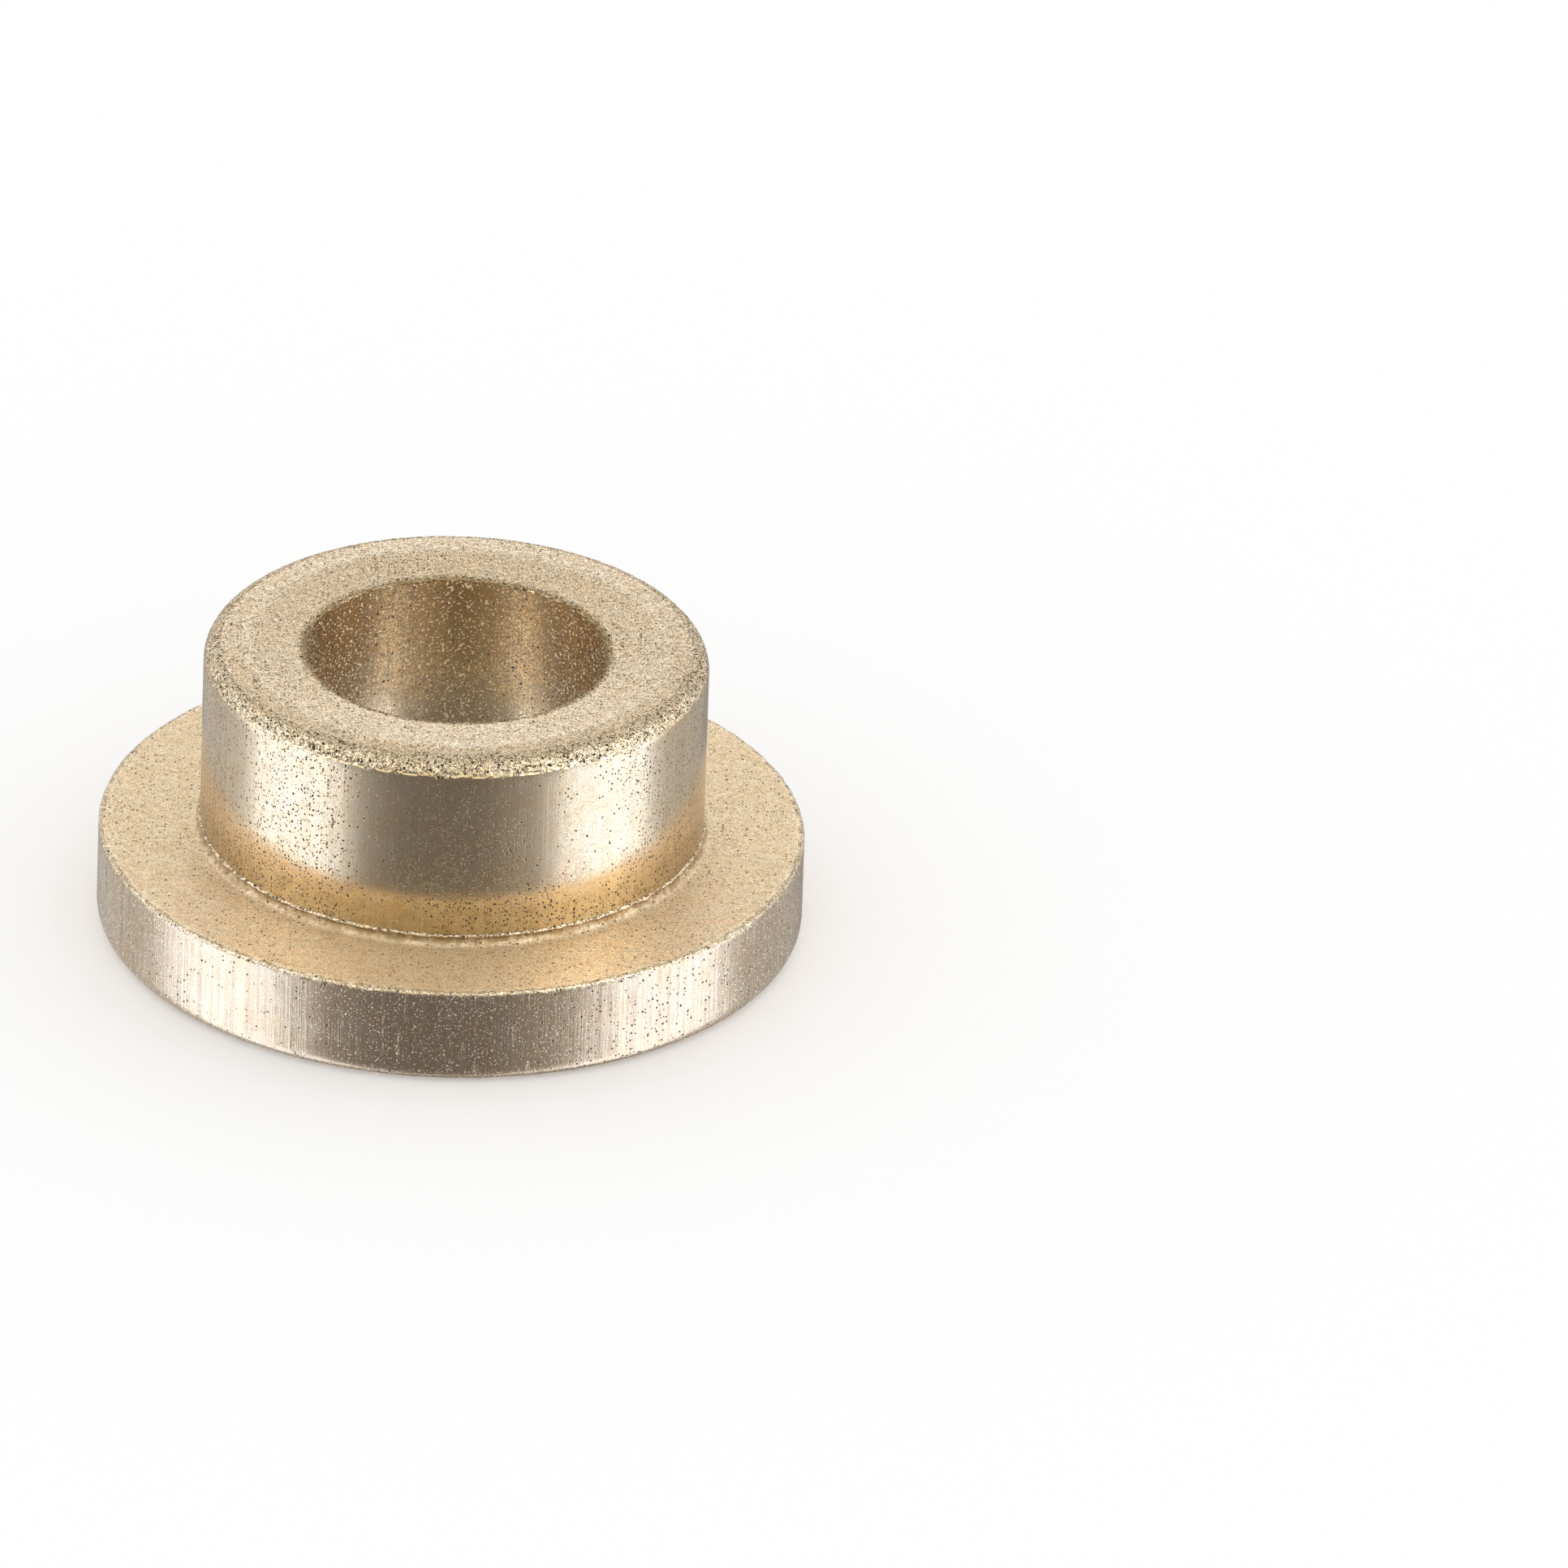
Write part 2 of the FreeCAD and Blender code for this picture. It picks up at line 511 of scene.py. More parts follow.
@dataclass
class BushingBody:
    """The bushing's one piece: its surface as a grid of rows along the section by steps around it.

    Reliefs and lengths are in millimetres. From the ridge's crest, its wander fades over the
    crest fade, and the pressed faces' relief sets in over the calm corner.
    """

    sizes: SectionSizes
    # painted shade, reflection and highlights
    painted_marks: PaintedMarks = PaintedMarks()
    steps_around: int = 720
    pressed_relief: float = 0.0022
    sized_relief: float = 0.0004
    calm_corner: Point = (0.15, 0.4)
    ridge_wander: float = 0.009
    crest_fade: Point = (0.02, 0.05)
    nose_crumble: float = 0.028
    edge_crumble: float = 0.01
    worn_side: float = math.radians(-78)
    worn_reach: float = 0.24
    face_ripple: Ripple = Ripple(11, 0.55, 0.16)
    crest_ripple: Ripple = Ripple(53, 0.6, 0.09, 80)
    border_ripple: Ripple = Ripple(61, 0.7, 0.09, 140)
    piece: Optional[bpy.types.Object] = field(default=None, init=False)

    def wear(self) -> list[EdgeWear]:
        """The chipped edges: round the nose, round the bore and round the flange's top."""
        sizes = self.sizes
        return [
            EdgeWear(sizes.sized_edge, Zone.CRUMBLED_EDGE, reach=0.36, depth=0.034, onset=-0.4,
                     ripple=Ripple(23, 0.2, 0.085, 160)),
            EdgeWear(sizes.bore_edge, Zone.CRUMBLED_EDGE, reach=0.17, depth=0.03, onset=-0.6,
                     ripple=Ripple(37, 0.25, 0.07, 160)),
            EdgeWear(sizes.rim_top_edge, Zone.BROKEN_EDGE, reach=0.3, depth=0.016, onset=-0.4,
                     ripple=Ripple(41, 0.4, 0.1, 140)),
        ]

    def relief(self, rows: SectionRows, angle: np.ndarray) -> np.ndarray:
        """How far each point stands off the true section, in millimetres, outwards.

        It is the fine unevenness of the pressed and of the sized surfaces, which the corner under
        the parting ridge lacks, and the ridge's wandering height, less the chips along the edges.

        Args:
            rows: The section's rows.
            angle: Angle of each step around, shape (1, around).

        Returns:
            Offset along the outward normal, shape (rows, around).
        """
        radius, away = self.sizes.body_radius, rows.distance(self.sizes.ridge_crest)
        sized = rows.holds(Zone.BODY_WALL, Zone.RIM_WALL, Zone.BORE_WALL)
        uneven = np.where(sized, self.sized_relief, self.pressed_relief * eased(away, *self.calm_corner))
        offset = self.face_ripple.over(rows, angle, radius) * uneven
        wander = self.ridge_wander * self.crest_ripple.over(rows, angle, radius)
        offset += wander * fading(away, *self.crest_fade)
        for worn in self.wear():
            offset -= worn.cut(rows, angle, self.worn_side)
        return offset

    def face_zones(self, rows: SectionRows, angle: np.ndarray) -> np.ndarray:
        """The zone of each face, read from the section at a slightly wandering place.

        On the side that is worn most, the crumbled edge reaches further over the nose face.

        Args:
            rows: The section's rows.
            angle: Angle of each step around, shape (1, around).

        Returns:
            Zone numbers, shape (rows, around).
        """
        sizes = self.sizes
        nose_arc = rows.radius > sizes.nose_edge[0] - self.nose_crumble
        nose_arc &= rows.height > sizes.nose_arc_centre[1]
        amount = np.where(nose_arc, self.nose_crumble, self.edge_crumble)
        wander = self.border_ripple.over(rows, angle, sizes.body_radius)
        place = rows.travel[:, None] + amount * wander
        row = np.searchsorted(rows.travel, place.ravel(), side="right") - 1
        zones = rows.zones[np.clip(row, 0, len(rows.travel) - 1)].reshape(place.shape)
        reach = self.worn_reach * np.clip(np.cos(angle - self.worn_side), 0, 1)
        worn = sizes.nose_edge[0] - rows.radius < reach + self.nose_crumble * wander
        return np.where(worn & rows.holds(Zone.NOSE_FACE), Zone.CRUMBLED_EDGE.value, zones)

    def build(self) -> bpy.types.Object:
        """Makes the mesh, with the zones as its material indices and the painted marks as attributes.

        A point at row i and step j is (r cos a, r sin a, z), where a = 2 pi j / steps and (r, z) is
        the section's point i moved along its outward normal by the relief.

        Returns:
            The bushing's object, at the origin, in metres.
        """
        rows = SectionRows.along(self.sizes.flange_stretches() + self.sizes.body_stretches())
        angle = np.linspace(0, 2 * np.pi, self.steps_around, endpoint=False)[None, :]
        offset, normal = self.relief(rows, angle), rows.outward()
        radius = np.minimum(rows.radius + normal[:, :1] * offset, self.sizes.flange_radius)
        height = np.clip(rows.height + normal[:, 1:] * offset, 0, self.sizes.overall_length)
        points = np.stack([radius * np.cos(angle), radius * np.sin(angle), height], axis=2) * MM
        mesh = closed_grid("bushing", points)
        zones = self.face_zones(rows, angle).ravel()
        mesh.polygons.foreach_set("material_index", zones.astype(np.int32))
        mesh.polygons.foreach_set("use_smooth", np.ones(zones.size, dtype=bool))
        mesh.update(calc_edges=True)
        mesh.validate()
        # painted shade, reflection and highlights, carried as attributes
        for mark, strength in self.painted_marks.over(self.sizes, rows, angle).items():
            carried = mesh.attributes.new(mark.value, "FLOAT", "POINT")
            carried.data.foreach_set("value", strength.ravel().astype(np.float32))
        self.piece = placed("bushing", mesh)
        return self.piece

    def dress(self, materials: dict[Zone, bpy.types.Material]) -> None:
        """Gives the piece one finish for each zone, in the order of the zones' numbers."""
        for zone in sorted(Zone, key=lambda member: member.value):
            self.piece.data.materials.append(materials[zone])


def closed_grid(name: str, points: np.ndarray) -> bpy.types.Mesh:
    """Makes a mesh of quads over a grid of points that closes on itself both ways.

    The quad at row i and column j joins (i, j), (i, j + 1), (i + 1, j + 1) and (i + 1, j).

    Args:
        name: The mesh's name.
        points: Places in metres, shape (rows, columns, 3).

    Returns:
        The mesh, with one face for each point.
    """
    index = np.arange(points[:, :, 0].size).reshape(points.shape[:2])
    along = np.roll(index, -1, axis=0)
    corners = (index, np.roll(index, -1, axis=1), np.roll(along, -1, axis=1), along)
    quads = np.stack(corners, axis=2).reshape(-1, 4)
    mesh = bpy.data.meshes.new(name)
    mesh.vertices.add(index.size)
    mesh.vertices.foreach_set("co", points.ravel().astype(np.float32))
    mesh.loops.add(quads.size)
    mesh.loops.foreach_set("vertex_index", quads.ravel().astype(np.int32))
    mesh.polygons.add(len(quads))
    mesh.polygons.foreach_set("loop_start", np.arange(0, quads.size, 4, dtype=np.int32))
    return mesh


def placed(name: str, data: bpy.types.ID) -> bpy.types.Object:
    """Adds an object to the scene.

    Args:
        name: The object's name.
        data: The mesh or camera that it holds.

    Returns:
        The object, at the origin.
    """
    made = bpy.data.objects.new(name, data)
    bpy.context.scene.collection.objects.link(made)
    return made


class Wiring:
    """Adds nodes to one shader tree and joins them."""

    def __init__(self, tree: bpy.types.NodeTree) -> None:
        """Works in the given tree."""
        self.tree = tree

    def node(self, kind: str, **settings: object) -> bpy.types.Node:
        """Adds one node and sets its properties.

        Args:
            kind: Blender's name of the node's type.
            settings: Properties to set on it.

        Returns:
            The new node.
        """
        made = self.tree.nodes.new(kind)
        for name, value in settings.items():
            setattr(made, name, value)
        return made

    def feed(self, target: Socket, term: Term) -> None:
        """Joins a socket to the target, or sets the target's own value."""
        if isinstance(term, bpy.types.NodeSocket):
            self.tree.links.new(term, target)
        elif target.type == "RGBA":
            target.default_value = (*term, 1.0)
        else:
            target.default_value = term

    def math(self, operation: str, *terms: Term) -> Socket:
        """One math node.

        Args:
            operation: Blender's name of the operation.
            terms: Its inputs, sockets or numbers.

        Returns:
            Its result.
        """
        made = self.node("ShaderNodeMath", operation=operation)
        for target, term in zip(made.inputs, terms):
            self.feed(target, term)
        return made.outputs[0]

    def weighted(self, first: Term, second: Term, share: float) -> Socket:
        """Mean of two numbers, in which the second counts for the share and the first for the rest."""
        rest = self.math("MULTIPLY", first, 1 - share)
        return self.math("ADD", rest, self.math("MULTIPLY", second, share))

    def ramp(self, value: Term, low: Term, high: Term, start: Term = 0.0, end: Term = 1.0) -> Socket:
        """Smooth change from start to end as the value goes from low to high.

        Args:
            value: What drives the change.
            low: Where it starts.
            high: Where it ends.
            start: Result at low.
            end: Result at high.

        Returns:
            The result.
        """
        made = self.node("ShaderNodeMapRange", interpolation_type="SMOOTHSTEP")
        for target, term in zip(made.inputs, (value, low, high, start, end)):
            self.feed(target, term)
        return made.outputs[0]

    def noise(self, position: Socket, scale: Term, detail: float, roughness: float = 0.5) -> Socket:
        """Fractal noise from 0 to 1.

        Args:
            position: Where it is read.
            scale: Features for each unit of position.
            detail: Octaves added.
            roughness: Strength of each octave against the one before.

        Returns:
            The noise's value.
        """
        made = self.node("ShaderNodeTexNoise")
        self.feed(made.inputs["Vector"], position)
        self.feed(made.inputs["Scale"], scale)
        made.inputs["Detail"].default_value = detail
        made.inputs["Roughness"].default_value = roughness
        return made.outputs[0]

    def blend(self, share: Term, first: Term, second: Term, blend_type: str = "MIX") -> Socket:
        """Colour between first and second, or another blend of the two.

        Args:
            share: 0 for the first and 1 for the second or the whole blend.
            first: Colour at 0.
            second: Colour at 1.
            blend_type: Blender's name of the blend.

        Returns:
            The mixed colour.
        """
        made = self.node("ShaderNodeMix", data_type="RGBA", blend_type=blend_type)
        for place, term in ((MIX_SHARE, share), (MIX_FIRST, first), (MIX_SECOND, second)):
            self.feed(made.inputs[place], term)
        return made.outputs[MIX_RESULT]

    def bump(self, height: Socket, depth: float, under: Optional[Socket] = None) -> Socket:
        """Adds relief to the normal.

        Args:
            height: Relief from 0 to 1.
            depth: Height in millimetres of a relief of 1.
            under: The normal that it is added to, if any.

        Returns:
            The new normal.
        """
        made = self.node("ShaderNodeBump")
        made.inputs["Distance"].default_value = depth * MM
        self.feed(made.inputs["Height"], height)
        if under is not None:
            self.feed(made.inputs["Normal"], under)
        return made.outputs[0]


def new_material(name: str) -> tuple[bpy.types.Material, Wiring]:
    """Makes a material with Blender's standard nodes, and the wiring for its tree."""
    made = bpy.data.materials.new(name)
    made.use_nodes = True
    return made, Wiring(made.node_tree)


class SurfaceEffect:
    """A shader node group with named inputs and outputs, built once and placed in each material.

    A rate counts a noise's features for each millimetre, or against those of another noise. A span
    is the pair of values between which a noise takes its result from one end to the other.
    """

    NAME = ""
    INPUTS: tuple[tuple[str, float], ...] = ()
    OUTPUTS: tuple[str, ...] = ()

    def __init__(self) -> None:
        """Builds the group."""
        self.group = bpy.data.node_groups.new(self.NAME, "ShaderNodeTree")
        sockets = self.group.interface
        sockets.new_socket(name="Position", in_out="INPUT", socket_type="NodeSocketVector")
        for name, value in self.INPUTS:
            made = sockets.new_socket(name=name, in_out="INPUT", socket_type="NodeSocketFloat")
            made.default_value = value
        for name in self.OUTPUTS:
            sockets.new_socket(name=name, in_out="OUTPUT", socket_type="NodeSocketFloat")
        wiring = Wiring(self.group)
        entry, leave = wiring.node("NodeGroupInput"), wiring.node("NodeGroupOutput")
        for name, result in self.wire(wiring, entry.outputs).items():
            wiring.feed(leave.inputs[name], result)

    def wire(self, wiring: Wiring, given: Sockets) -> dict[str, Socket]:
        """Builds the effect's own nodes; each effect has its own."""
        raise NotImplementedError

    def place(self, wiring: Wiring, position: Socket, **values: float) -> Sockets:
        """Places the group in a material.

        Args:
            wiring: The material's wiring.
            position: Place on the piece in millimetres.
            values: Numbers for the group's inputs, by name with _ for a space.

        Returns:
            The placed group's outputs.
        """
        made = wiring.node("ShaderNodeGroup", node_tree=self.group)
        wiring.feed(made.inputs["Position"], position)
        for name, value in values.items():
            made.inputs[name.replace("_", " ").capitalize()].default_value = value
        return made.outputs


class PressedGrain(SurfaceEffect):
    """Grains of powder: a mottled tone, bright flecks, fine relief and slow patches of hue."""

    NAME = "pressed grain"
    INPUTS = (("Grain size", 0.06), ("Patch size", 0.5), ("Fleck level", 0.69))
    OUTPUTS = ("Mottle", "Fleck", "Patch", "Height")
    COARSE_RATE = 0.27
    FINE_SHARE = 0.8
    FLECK_RATE = 0.8
    FLECK_RISE = 0.06
    MOTTLE_SPAN = (0.4, 0.6)
    PATCH_SPAN = (0.33, 0.67)

    def wire(self, wiring: Wiring, given: Sockets) -> dict[str, Socket]:
        """Noises at one grain's size, at several grains' and at the patches'.

        Args:
            wiring: The group's wiring.
            given: The group's inputs.

        Returns:
            Sockets for the group's outputs.
        """
        spot, level = given["Position"], given["Fleck level"]
        rate = wiring.math("DIVIDE", 1.0, given["Grain size"])
        fine = wiring.noise(spot, rate, detail=1.0, roughness=0.6)
        coarse = wiring.noise(spot, wiring.math("MULTIPLY", rate, self.COARSE_RATE), detail=1.0)
        both = wiring.weighted(coarse, fine, self.FINE_SHARE)
        patch_rate = wiring.math("DIVIDE", 1.0, given["Patch size"])
        patch = wiring.noise(spot, patch_rate, detail=2.0, roughness=0.6)
        bits = wiring.noise(spot, wiring.math("MULTIPLY", rate, self.FLECK_RATE), detail=0.0)
        return {
            "Mottle": wiring.ramp(both, *self.MOTTLE_SPAN),
            "Fleck": wiring.ramp(bits, level, wiring.math("ADD", level, self.FLECK_RISE)),
            "Patch": wiring.ramp(patch, *self.PATCH_SPAN),
            "Height": both,
        }


class OpenPores(SurfaceEffect):
    """Pores between the grains: round pits scattered at random, of uneven size.

    A pit's size is its least size and a random part of the spread over it, as shares of the width.
    It is deepest up to the floor and gone from the brim on, as shares of its own half width.
    """

    NAME = "open pores"
    INPUTS = (("Spacing", 0.12), ("Width", 0.04), ("Share", 0.5), ("Thinnest", 0.35))
    OUTPUTS = ("Mask", "Height")
    WOBBLE_RATE = 22.0
    WOBBLE_REACH = 0.03
    CROWDING_RATE = 0.4
    CROWDING_SPAN = (0.4, 0.6)
    CROWDING_MOST = 1.3
    LEAST_SIZE = 0.5
    SIZE_SPREAD = 0.8
    FLOOR = 0.5
    BRIM = 1.3

    def wire(self, wiring: Wiring, given: Sockets) -> dict[str, Socket]:
        """Each cell of a cell pattern holds a pit if the cell's own random number is under the share.

        A slow noise raises and lowers the share, so that the pits crowd in some places and are
        down to the thinnest part of their share in others.

        Args:
            wiring: The group's wiring.
            given: The group's inputs.

        Returns:
            Sockets for the group's outputs.
        """
        wobble = wiring.node("ShaderNodeTexNoise")
        wiring.feed(wobble.inputs["Vector"], given["Position"])
        wobble.inputs["Scale"].default_value = self.WOBBLE_RATE
        wobble.inputs["Detail"].default_value = 1.0
        push = wiring.node("ShaderNodeVectorMath", operation="MULTIPLY_ADD")
        wiring.feed(push.inputs[0], wobble.outputs["Color"])
        push.inputs[1].default_value = (self.WOBBLE_REACH,) * 3
        wiring.feed(push.inputs[2], given["Position"])
        cells = wiring.node("ShaderNodeTexVoronoi")
        wiring.feed(cells.inputs["Vector"], push.outputs[0])
        wiring.feed(cells.inputs["Scale"], wiring.math("DIVIDE", 1.0, given["Spacing"]))
        pick = wiring.node("ShaderNodeSeparateColor")
        wiring.feed(pick.inputs[0], cells.outputs["Color"])
        slow = wiring.noise(given["Position"], self.CROWDING_RATE, detail=0.0)
        crowding = wiring.ramp(slow, *self.CROWDING_SPAN, given["Thinnest"], self.CROWDING_MOST)
        share = wiring.math("MULTIPLY", given["Share"], crowding)
        chosen = wiring.math("LESS_THAN", pick.outputs[0], share)
        distance = wiring.math("MULTIPLY", cells.outputs["Distance"], given["Spacing"])
        uneven = wiring.math("MULTIPLY_ADD", pick.outputs[1], self.SIZE_SPREAD, self.LEAST_SIZE)
        half = wiring.math("MULTIPLY", wiring.math("MULTIPLY", given["Width"], 0.5), uneven)
        floor, brim = wiring.math("MULTIPLY", half, self.FLOOR), wiring.math("MULTIPLY", half, self.BRIM)
        mask = wiring.math("MULTIPLY", wiring.ramp(distance, floor, brim, 1.0, 0.0), chosen)
        return {"Mask": mask, "Height": wiring.math("SUBTRACT", 1.0, mask)}


class DrawLines(SurfaceEffect):
    """Fine upright lines that the die draws into a wall as the pressing is pushed out of it."""

    NAME = "draw lines"
    INPUTS = (("Line width", 0.05),)
    OUTPUTS = ("Tone", "Scratch", "Height")
    SQUEEZE = (1.0, 1.0, 0.012)
    WIDE_RATE = 0.23
    FINE_SHARE = 0.6
    BREAK_RATE = 1.6
    BREAK_SPAN = (0.38, 0.6)
    FAINTEST = 0.35
    MIDDLE = 0.5
    TONE_SPAN = (0.36, 0.64)
    SCRATCH_SPAN = (0.6, 0.68)

    def wire(self, wiring: Wiring, given: Sockets) -> dict[str, Socket]:
        """Noise read at places squeezed along the axis, so that its features become upright lines.

        A rounder noise over it breaks the lines off at uneven heights.

        Args:
            wiring: The group's wiring.
            given: The group's inputs.

        Returns:
            Sockets for the group's outputs.
        """
        squeeze = wiring.node("ShaderNodeVectorMath", operation="MULTIPLY")
        wiring.feed(squeeze.inputs[0], given["Position"])
        squeeze.inputs[1].default_value = self.SQUEEZE
        rate = wiring.math("DIVIDE", 1.0, given["Line width"])
        fine = wiring.noise(squeeze.outputs[0], rate, detail=2.0, roughness=0.7)
        wide_rate = wiring.math("MULTIPLY", rate, self.WIDE_RATE)
        wide = wiring.noise(squeeze.outputs[0], wide_rate, detail=1.0)
        line = wiring.weighted(wide, fine, self.FINE_SHARE)
        rounder = wiring.noise(given["Position"], self.BREAK_RATE, detail=2.0)
        breaks = wiring.ramp(rounder, *self.BREAK_SPAN, self.FAINTEST, 1.0)
        centred = wiring.math("MULTIPLY", wiring.math("SUBTRACT", line, self.MIDDLE), breaks)
        height = wiring.math("ADD", centred, self.MIDDLE)
        return {
            "Tone": wiring.ramp(height, *self.TONE_SPAN),
            "Scratch": wiring.ramp(height, *self.SCRATCH_SPAN),
            "Height": height,
        }


@dataclass(frozen=True)
class GrainLook:
    """Size and depth of the powder's grains in millimetres, and the noise level over which they gleam."""

    size: float
    depth: float
    fleck_level: float = 0.69


@dataclass(frozen=True)
class PoreLook:
    """Spacing, width and depth of the pores in millimetres, and the share of places that have one.

    Where they are thinnest, only that part of the share is left.
    """

    spacing: float
    width: float
    share: float
    depth: float
    thinnest: float = 0.35


@dataclass(frozen=True)
class LineLook:
    """Width and depth of the draw lines in millimetres, their share of the tone, and their roughness."""

    width: float
    depth: float
    tone: float
    roughness: float


@dataclass(frozen=True)
class MarkLook:
    """Colour of a painted mark, and how far it covers the dull and the bright grains."""

    mark: Mark
    on_dull: float
    on_bright: float
    colour: Colour


@dataclass(frozen=True)
class BronzeFinish:
    """How one zone of the bronze looks, with colours in linear light.

    The stretch, from 0 to 1, draws reflections out around the axis, as upright draw lines do.
    """

    zone: Zone
    bright: Colour
    dull: Colour
    # painted shade in the pores
    pit_shade_colour: Colour
    roughness: float
    dull_roughness: float
    grain: GrainLook
    pores: PoreLook
    lines: Optional[LineLook] = None
    stretch: float = 0.0
    warm_tint: Colour = (1.0, 0.95, 0.90)
    cool_tint: Colour = (1.0, 1.01, 1.03)
    fleck_colour: Colour = (1.0, 0.88, 0.70)
    fleck_cover: float = 0.8
    fleck_roughness: float = 0.5
    pore_roughness: float = 0.8
    marks: tuple[MarkLook, ...] = ()

    def material(self, grain: PressedGrain, pores: OpenPores, lines: DrawLines) -> bpy.types.Material:
        """Builds the finish as a material.

        The roughness falls from the dull tone to the bright one, and flecks, pores and scratches
        are at least as rough as their own values.

        Args:
            grain: The grain effect.
            pores: The pore effect.
            lines: The draw line effect.

        Returns:
            The material.
        """
        made, wiring = new_material(self.zone.name.lower())
        place = wiring.node("ShaderNodeMapping")
        wiring.feed(place.inputs["Vector"], wiring.node("ShaderNodeTexCoord").outputs["Object"])
        place.inputs["Scale"].default_value = (PER_METRE,) * 3
        spot = place.outputs[0]
        grains = grain.place(wiring, spot, grain_size=self.grain.size, fleck_level=self.grain.fleck_level)
        pits = pores.place(wiring, spot, spacing=self.pores.spacing, width=self.pores.width,
                           share=self.pores.share, thinnest=self.pores.thinnest)
        tone = grains["Mottle"]
        normal = wiring.bump(grains["Height"], self.grain.depth)
        normal = wiring.bump(pits["Height"], self.pores.depth, normal)
        roughest = [wiring.math("MULTIPLY", grains["Fleck"], self.fleck_roughness),
                    wiring.math("MULTIPLY", pits["Mask"], self.pore_roughness)]
        if self.lines is not None:
            drawn = lines.place(wiring, spot, line_width=self.lines.width)
            tone = wiring.weighted(tone, drawn["Tone"], self.lines.tone)
            normal = wiring.bump(drawn["Height"], self.lines.depth, normal)
            roughest.append(wiring.math("MULTIPLY", drawn["Scratch"], self.lines.roughness))
        rough = wiring.ramp(tone, 0.0, 1.0, self.dull_roughness, self.roughness)
        for least in roughest:
            rough = wiring.math("MAXIMUM", rough, least)
        shader = made.node_tree.nodes["Principled BSDF"].inputs
        wiring.feed(shader["Base Color"], self.colour(wiring, tone, grains, pits))
        wiring.feed(shader["Roughness"], rough)
        shader["Metallic"].default_value = 1.0
        shader["Anisotropic"].default_value = self.stretch
        around = wiring.node("ShaderNodeTangent", direction_type="RADIAL", axis="Z")
        wiring.feed(shader["Tangent"], around.outputs[0])
        wiring.feed(shader["Normal"], normal)
        return made

    def colour(self, wiring: Wiring, tone: Socket, grains: Sockets, pits: Sockets) -> Socket:
        """The metal's colour from dull to bright, tinted in patches, under flecks, the painted marks and
        the pores' painted shade.

        Args:
            wiring: The material's wiring.
            tone: 0 for dull and 1 for bright.
            grains: Outputs of the grain effect.
            pits: Outputs of the pore effect.

        Returns:
            The colour.
        """
        hue = wiring.blend(grains["Patch"], self.cool_tint, self.warm_tint)
        metal = wiring.blend(1.0, wiring.blend(tone, self.dull, self.bright), hue, "MULTIPLY")
        flecks = wiring.math("MULTIPLY", grains["Fleck"], self.fleck_cover)
        metal = wiring.blend(flecks, metal, self.fleck_colour)
        # painted shade, reflection and highlights, read from the mesh's attributes
        for look in self.marks:
            strength = wiring.node("ShaderNodeAttribute", attribute_name=look.mark.value).outputs["Fac"]
            cover = wiring.ramp(tone, 0.0, 1.0, look.on_dull, look.on_bright)
            metal = wiring.blend(wiring.math("MULTIPLY", strength, cover), metal, look.colour)
        # painted shade in the pores
        return wiring.blend(pits["Mask"], metal, self.pit_shade_colour)
